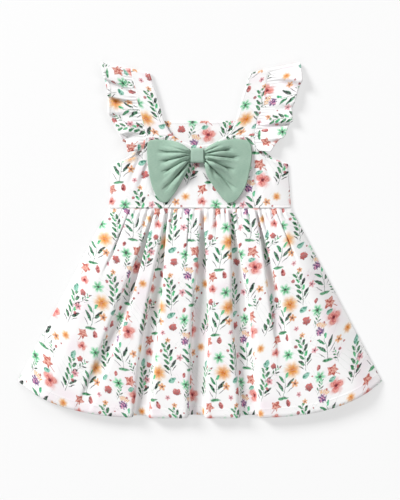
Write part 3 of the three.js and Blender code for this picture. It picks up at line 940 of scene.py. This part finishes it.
def nearest(cloth, spots):
    """The place within the closest repeat of a motif."""
    best = least = None
    for x, y, turn, size in spots:
        inputs = {"Vector": from_spot(cloth, x, y), "Scale": (size, size, size)}
        inputs["Rotation"] = (0, 0, math.radians(turn))
        place = from_node("ShaderNodeMapping", inputs, 0, vector_type="TEXTURE")
        reach = vector("LENGTH", place)
        if best is None:
            best, least = place, reach
        else:
            best = choose(calc("LESS_THAN", reach, least), best, place)
            least = calc("MINIMUM", reach, least)
    return best


def polar(place):
    x, y = split(place)
    return vector("LENGTH", place), calc("ARCTAN2", y, x)


def bloom(place, pigment, petals, notch, soft, heart, inner, petal, rim):
    """An open flower with rounded petals, 1 in radius. The last four are colours."""
    reach, angle = polar(place)
    lobe = abs(calc("COSINE", angle * (petals / 2)))
    edge = (lobe ** 0.55) * (1 - notch) + notch
    tone = reach / edge + pigment * 0.5 - 0.25
    colour = mix(step(tone, 0.3, 0.62), inner, petal)
    colour = mix(step(tone + (1 - lobe) * 0.25, 0.72, 1.12), colour, rim)
    colour = mix(step(reach, 0.26, 0.13), colour, heart)
    return step(edge - reach, 0, soft), colour


def lobed_leaf(place, pigment, light, deep):
    """A broad leaf with five pointed lobes, veins and a stalk, 1 in radius."""
    x, y = split(place)
    reach, angle = polar(place)
    swing = abs(calc("SINE", angle * 2.5))
    tooth = abs(calc("SINE", angle * 11))
    edge = (1 - swing) * 0.34 + 0.58 + 0.1 * calc("COSINE", angle) - tooth * 0.07
    colour = mix(step(pigment * 0.75 + reach * 0.3, 0.2, 0.8), light, deep)
    colour = mix(step(swing * reach, 0.06, 0.0) * 0.7, colour, deep)
    stalk = step(abs(y), 0.07, 0.03) * step(x, -1.25, -1.15) * step(x, 0, -0.2)
    return calc("MAXIMUM", step(edge - reach, 0, 0.1), stalk), colour


def ringed_bloom(place, pigment, light, deep):
    """A round flower with rings of short petals and an uneven edge, 1 in radius."""
    _, y = split(place)
    reach, angle = polar(place)
    ring = calc("FLOOR", reach * 2.6 + pigment * 0.8)
    petal = abs(calc("COSINE", angle * 2.5 + ring * 1.9))
    edge = 0.66 + 0.16 * petal + 0.26 * pigment
    tone = petal * 0.3 + pigment * 0.5 + y * 0.45 + 0.1
    return step(edge - reach, 0, 0.2), mix(step(tone, 0.1, 0.9), deep, light)


def blade(place, pigment, width, light, deep):
    """A plain leaf, bud or drop from 0 to 1 along x, with a darker side."""
    x, y = split(place)
    half = calc("SQRT", calc("MAXIMUM", x * (1 - x), 0)) * (1.25 - x * 0.5) * width
    colour = mix(step(pigment * 0.7 + y / width * 0.9, 0.1, 0.75), light, deep)
    return step(half - abs(y), 0, 0.12), colour


def sprig(place, pigment, length, spacing, slant, reach, width, light, middle, deep):
    """Leaves in turn on both sides of a stem that runs along x. Sizes are in millimetres."""
    x, y = split(place)
    y = y + calc("SINE", x * (3.4 / length)) * (0.05 * length)
    off = abs(y)
    side = calc("SIGN", y)
    along = x - off * slant + side * (spacing / 4)
    number = calc("ROUND", along / spacing)
    draw = chance(number * 2 + side * 0.5)
    from_axis = along - number * spacing + (draw - 0.5) * (0.3 * spacing)
    tall = (reach - along * (0.4 * reach / length)) * (0.62 + draw * 0.55)
    up = (off / tall - 0.16) / 0.84
    half = calc("SQRT", calc("MAXIMUM", up * (1 - up), 0)) * (1.35 - up * 0.6) * width
    across = abs(from_axis)
    within = step(along, 0, 0.5) * step(along, length, length - 0.5)
    leaves = step(half - across, -0.5, 0.9)
    stalks = step(across, 0.5, 0.2) * step(up, 0.3, 0.2)
    stem = step(off, 0.5, 0.2) * step(x, -3, -2) * step(x, length, length - 2)
    tone = draw + pigment * 0.3 + from_axis / width * 0.35
    colour = mix(step(tone, 0.2, 0.5), light, middle)
    colour = mix(step(tone, 0.84, 1.08), colour, deep)
    return calc("MAXIMUM", calc("MAXIMUM", leaves, stalks) * within, stem * 0.8), colour


def cluster(place, pigment, light, deep, strand):
    """A loose head of tiny petals, 1 in radius, with yellow strands that rise from it along x."""
    reach, angle = polar(place)
    cells = {"Vector": place, "Scale": 3.2}
    petal, tint = from_node("ShaderNodeTexVoronoi", cells, "Distance", "Color")
    head = step(reach + petal * 0.7, 1.15, 0.9)
    tone = chance(calc("FLOOR", tint * 9))
    colour = mix(step(tone + pigment * 0.4, 0.3, 0.9), light, deep)
    turn = angle / 0.2
    near = abs(turn - calc("ROUND", turn))
    strands = step(near, 0.42, 0.2) * step(abs(angle), 0.85, 0.6)
    strands = strands * step(reach, 1.75, 1.4) * step(reach, 0.7, 0.9)
    return calc("MAXIMUM", head, strands), mix(strands, colour, strand)


GREEN = dyes((66, 198, 126), (0, 132, 70), (0, 26, 20))
EMERALD = dyes((24, 160, 92), (0, 92, 52))
GREY_GREEN = dyes((84, 202, 146), (0, 142, 84), (0, 38, 28))
TEAL = dyes((140, 204, 182), (60, 140, 114))
MINT = dyes((0, 60, 36), (52, 168, 104), (152, 230, 182), (96, 200, 142))
PINK = dyes((64, 16, 30), (204, 106, 120), (244, 190, 196), (214, 130, 142))
CORAL = dyes((110, 34, 42), (206, 94, 94), (240, 168, 156), (208, 106, 102))
ORANGE = dyes((80, 30, 20), (214, 122, 60), (246, 192, 140), (222, 134, 76))
PEACH = dyes((216, 118, 24), (230, 146, 44), (246, 186, 96), (254, 230, 200))
BLUSH = dyes((226, 134, 138), (234, 160, 160), (246, 202, 200), (254, 234, 231))
RUST = dyes((236, 166, 146), (186, 84, 72))
RED = dyes((212, 108, 102), (128, 34, 44))
PURPLE = dyes((220, 142, 176), (96, 50, 118), (240, 176, 78))

SMALL_SPRIGS = [(30, 38, 50, 0.8), (95, 5, 70, 0.8), (126, 42, 110, 0.8)]

# motif, its spots, and what else it takes
PRINT = [
    (bloom, [(122, 8, 15, 16), (34, 71, 80, 10)], (5, 0.6, 0.6, *BLUSH)),
    (bloom, [(60, 44, 20, 16), (10, 78, 70, 8.6)], (7, 0.86, 0.75, *PEACH)),
    (sprig, [(13, 4, 80, 1), (79, 42, 99, 1)], (47, 8.4, 0.95, 9.6, 6.2, *GREEN)),
    (sprig, [(45, 6, 82, 1), (111, 50, 98, 1)], (30, 12, 1.1, 13.8, 6.4, *GREY_GREEN)),
    (sprig, SMALL_SPRIGS, (20, 6.5, 0.9, 6.4, 3.6, *GREEN)),
    (bloom, [(54, 66, 12, 10.6), (99, 27, 50, 10)], (6, 0.44, 0.5, *MINT)),
    (bloom, [(26, 30, 30, 6.2), (93, 66, 66, 6), (68, 8, 50, 4.6)], (5, 0.36, 0.3, *PINK)),
    (bloom, [(63, 24, 8, 6.6), (128, 70, 40, 6.6), (76, 91, 90, 4.6)], (5, 0.36, 0.3, *ORANGE)),
    (bloom, [(122, 8, 15, 11.5), (34, 71, 80, 6.6)], (3, 0.3, 0.25, *CORAL)),
    (lobed_leaf, [(34, 88, 60, 9.6), (118, 30, 140, 11)], RUST),
    (ringed_bloom, [(83, 16, 0, 6.8), (32, 52, 30, 5)], RED),
    (cluster, [(101, 90, 70, 8)], PURPLE),
    (blade, [(37, 4, 4, 17), (103, 48, -6, 17)], (0.36, *EMERALD)),
    (blade, [(20, 50, 70, 13), (74, 30, 30, 13), (112, 17, 20, 11)], (0.66, *TEAL)),
    (blade, [(53, 86, 100, 11), (99, 44, 250, 8)], (0.7, *RED)),
]

# x, y, radius
BERRIES = [
    (22, 20, 2.3), (66, 76, 2.6), (88, 30, 1.5), (108, 7, 1.8), (42, 50, 1.4), (88, 80, 1.4),
    (4, 64, 1.6), (129, 56, 2.1),
]


def weave_bump(cloth, thread, height):
    """The bump of a plain weave whose threads lie so far apart."""
    x, y = split(cloth)
    turn = math.tau / thread
    threads = calc("SINE", x * turn) * calc("SINE", y * turn)
    fuzz = noise(cloth, 1.1, 3)[1] * 1.6
    inputs = {"Strength": height, "Distance": WEAVE_RELIEF, "Height": threads + fuzz}
    return from_node("ShaderNodeBump", inputs, 0)


def new_material(name, finish):
    """A material whose shader is set to a plain finish. New nodes then go into its tree."""
    material = bpy.data.materials.new(name)
    material.use_nodes = True
    Value.tree = material.node_tree
    shader = material.node_tree.nodes["Principled BSDF"]
    feed(shader, finish)
    return material, shader


def start_cloth(name, roughness, sheen):
    """A cloth material, its shader, and the place on the flat cut in millimetres."""
    finish = {"Roughness": roughness, "Specular IOR Level": 0.2, "Sheen Weight": sheen}
    material, shader = new_material(name, {**finish, "Sheen Roughness": 0.5})
    uv = from_node("ShaderNodeUVMap", {}, 0, uv_map="UVMap")
    return material, shader, vector("MULTIPLY", uv, (1 / MM,) * 3)


def printed_cotton():
    material, shader, cut = start_cloth("printed_cotton", 0.9, 0.05)
    wander = vector("SUBTRACT", noise(cut, 0.2, 3)[0], (0.5, 0.5, 0.5))
    cloth = vector("ADD", cut, vector("MULTIPLY", wander, (WANDER, WANDER, 0)))
    pigment = step(noise(cut, 0.33, 3)[1], 0.32, 0.68)
    wash = step(noise(cut, 0.022, 1)[1], 0.5, 0.75)
    colour = mix(wash * 0.6, dye(255, 254, 254), dye(251, 236, 243))
    for motif, spots, sizes in PRINT:
        mask, ink = motif(nearest(cloth, spots), pigment, *sizes)
        colour = mix(mask * (0.82 + pigment * 0.18), colour, ink)
    least = None
    for x, y, radius in BERRIES:
        inside = vector("LENGTH", from_spot(cloth, x, y)) - radius
        least = inside if least is None else calc("MINIMUM", least, inside)
    colour = mix(step(least, 0.2, -0.5) * 0.85, colour, mix(pigment, *RED))
    feed(shader, {"Base Color": colour, "Normal": weave_bump(cut, 0.55, 0.25)})
    return material


def sage_cotton(name, low, high):
    material, shader, cut = start_cloth(name, 0.85, 0.1)
    slub = noise(vector("MULTIPLY", cut, (0.25, 2.2, 1)), 1.0, 2)[1]
    cloudy = noise(cut, 0.05, 2)[1]
    colour = mix(step(slub * 0.6 + cloudy * 0.4, 0.35, 0.65), low, high)
    feed(shader, {"Base Color": colour, "Normal": weave_bump(cut, 0.7, 0.45)})
    return material


# Topstitching

def stitch_tree():
    """Geometry nodes that sew a line of short stitches along each run of edges."""
    tree = Value.tree = bpy.data.node_groups.new("topstitching", "GeometryNodeTree")
    new_socket = tree.interface.new_socket
    kinds = {"Lines": "Geometry", **dict.fromkeys(STITCHES, "Float"), "Thread material": "Material"}
    for name, kind in kinds.items():
        new_socket(name, in_out="INPUT", socket_type="NodeSocket" + kind)
    new_socket("Stitches", in_out="OUTPUT", socket_type="NodeSocketGeometry")
    lines, pitch, length, thick, dress = from_node("NodeGroupInput", {}, *range(5))
    runs = from_node("GeometryNodeMeshToCurve", {0: lines}, 0)
    spots = from_node("GeometryNodeResampleCurve", {"Curve": runs, "Length": pitch}, 0, mode="LENGTH")
    bead = from_node("GeometryNodeMeshUVSphere", {"Segments": 6, "Rings": 4, "Radius": 0.5}, 0)
    size = from_node("ShaderNodeCombineXYZ", {"X": length, "Y": thick, "Z": thick}, 0)
    bead = from_node("GeometryNodeTransform", {"Geometry": bead, "Scale": size}, 0)
    tangent = from_node("GeometryNodeInputTangent", {}, 0)
    aim = from_node("FunctionNodeAlignRotationToVector", {"Vector": tangent}, 0, axis="X")
    laid = {"Points": spots, "Instance": bead, "Rotation": aim}
    row = from_node("GeometryNodeInstanceOnPoints", laid, 0)
    row = from_node("GeometryNodeRealizeInstances", {0: row}, 0)
    row = from_node("GeometryNodeSetMaterial", {"Geometry": row, "Material": dress}, 0)
    feed(tree.nodes.new("NodeGroupOutput"), {0: row})
    return tree


def sew(name, lines, tree, material):
    """Stitches along a few lines, as one plain mesh."""
    points = np.concatenate(lines) + (0, PATTERN_SHIFT, 0)
    edges, start = [], 0
    for line in lines:
        edges += [(n, n + 1) for n in range(start, start + len(line) - 1)]
        start += len(line)
    mesh = bpy.data.meshes.new(name + "_lines")
    mesh.from_pydata((points * MM).tolist(), edges, [])
    carrier = place_object(name + "_lines", mesh)
    sewing = carrier.modifiers.new("sewing", "NODES")
    sewing.node_group = tree
    values = {key: size * MM for key, size in STITCHES.items()}
    values["Thread material"] = material
    for item in tree.interface.items_tree:
        if item.in_out == "INPUT" and item.name in values:
            sewing[item.identifier] = values[item.name]
    view = bpy.context.evaluated_depsgraph_get()
    stitches = bpy.data.meshes.new_from_object(carrier.evaluated_get(view))
    stitches.name = name
    bpy.data.objects.remove(carrier)
    root_piece(name, stitches)


def spun_thread():
    """White thread, with its twist."""
    material, shader = new_material("white_thread", {"Roughness": 0.7, "Sheen Weight": 0.3})
    where = from_node("ShaderNodeTexCoord", {}, "Object")
    x, y = split(vector("MULTIPLY", where, (1 / MM,) * 3))
    twist = calc("SINE", (x + y) * 14) * 0.5 + 0.5
    feed(shader, {"Base Color": mix(twist * 0.4, dye(246, 246, 246), dye(150, 152, 150))})
    return material


# Floor, light and camera

FLOOR_REACH = 40
FLOOR_DROP = 0.2 * MM
# A white table top that is lit a little from below, so shadows on it stay faint
PALE_FLOOR = {
    "Base Color": (0.31, 0.31, 0.31, 1),
    "Roughness": 1,
    "Specular IOR Level": 0,
    "Emission Color": (1, 1, 1, 1),
    "Emission Strength": 0.585,
}
SKY = 0.09  # even light from all around
LIGHT_DISTANCE = 12
# name, heading in degrees from +X, height in degrees, size, power
LIGHTS = [
    ("key", 142, 27, 4.2, 2270),
    ("fill", -15, 36, 6.4, 400),
    ("back", 70, 32, 6.4, 440),
    ("front", -100, 32, 6.4, 390),
]
CAMERA_LENS = 85
SENSOR = 36
VIEW_HEIGHT = 725  # from the top to the bottom of the picture, at the measured level
MEASURED_Z = 8
VIEW_CENTRE_Y = -11.6


def add_floor():
    mesh = bpy.data.meshes.new("floor")
    far = FLOOR_REACH
    corners = [(x, y, -FLOOR_DROP) for x, y in ((-far, -far), (far, -far), (far, far), (-far, far))]
    mesh.from_pydata(corners, [], [(0, 1, 2, 3)])
    mesh.materials.append(new_material("pale_floor", PALE_FLOOR)[0])
    place_object("floor", mesh)


def add_light(name, heading, height, size, power):
    """A round soft light that faces the dress."""
    light = bpy.data.lights.new(name, "AREA")
    light.shape = "DISK"
    light.size = size
    light.energy = power
    lamp = place_object(name, light)
    turn, lift = math.radians(heading), math.radians(height)
    level = LIGHT_DISTANCE * math.cos(lift)
    lamp.location = (level * math.cos(turn), level * math.sin(turn), LIGHT_DISTANCE * math.sin(lift))
    lamp.rotation_euler = (-lamp.location).to_track_quat("-Z", "Y").to_euler()


def add_camera():
    camera = bpy.data.cameras.new("camera")
    camera.lens = CAMERA_LENS
    camera.sensor_width = SENSOR
    camera.clip_end = 20
    eye = place_object("camera", camera)
    height = VIEW_HEIGHT / 2 * MM / (SENSOR / 2 / CAMERA_LENS)
    eye.location = (0, (VIEW_CENTRE_Y + PATTERN_SHIFT) * MM, height + MEASURED_Z * MM)
    bpy.context.scene.camera = eye


def add_world():
    world = bpy.data.worlds.new("studio")
    world.use_nodes = True
    feed(world.node_tree.nodes["Background"], {"Color": (1, 1, 1, 1), "Strength": SKY})
    bpy.context.scene.world = world


# A cloth is its material and the record's slot for it
printed = printed_cotton(), "printed_cloth"
sage = sage_cotton("sage_cotton", dye(156, 187, 168), dye(171, 199, 181)), "bow_cloth"
# The knot takes a lighter copy of the wings' sage cloth: painted light, standing for the light that
# the raised knot catches
knot_sage_painted_light = sage_cotton("sage_cotton_knot_painted_light", dye(166, 194, 177), dye(179, 205, 189)), "bow_cloth"

back_skirt(printed)
front_skirt(printed)
back_bodice(printed)
front_bodice(printed)
strap("strap_left", -1, printed)
strap("strap_right", 1, printed)
ruffle("ruffle_left", -1, 0.4, 0.95, LEFT_RUFFLE_EDGE, printed)
ruffle("ruffle_right", 1, 2.1, 0.7, RIGHT_RUFFLE_EDGE, printed)
bow_wing("bow_wing_left", LEFT_WING, sage)
bow_wing("bow_wing_right", RIGHT_WING, sage)
bow_knot(knot_sage_painted_light)

sewing = stitch_tree()
thread = spun_thread()
sew("topstitching_front", front_lines, sewing, thread)
sew("topstitching_back", inner_lines, sewing, thread)

add_floor()
add_world()
for light in LIGHTS:
    add_light(*light)
add_camera()
bpy.context.scene.view_settings.view_transform = "Standard"
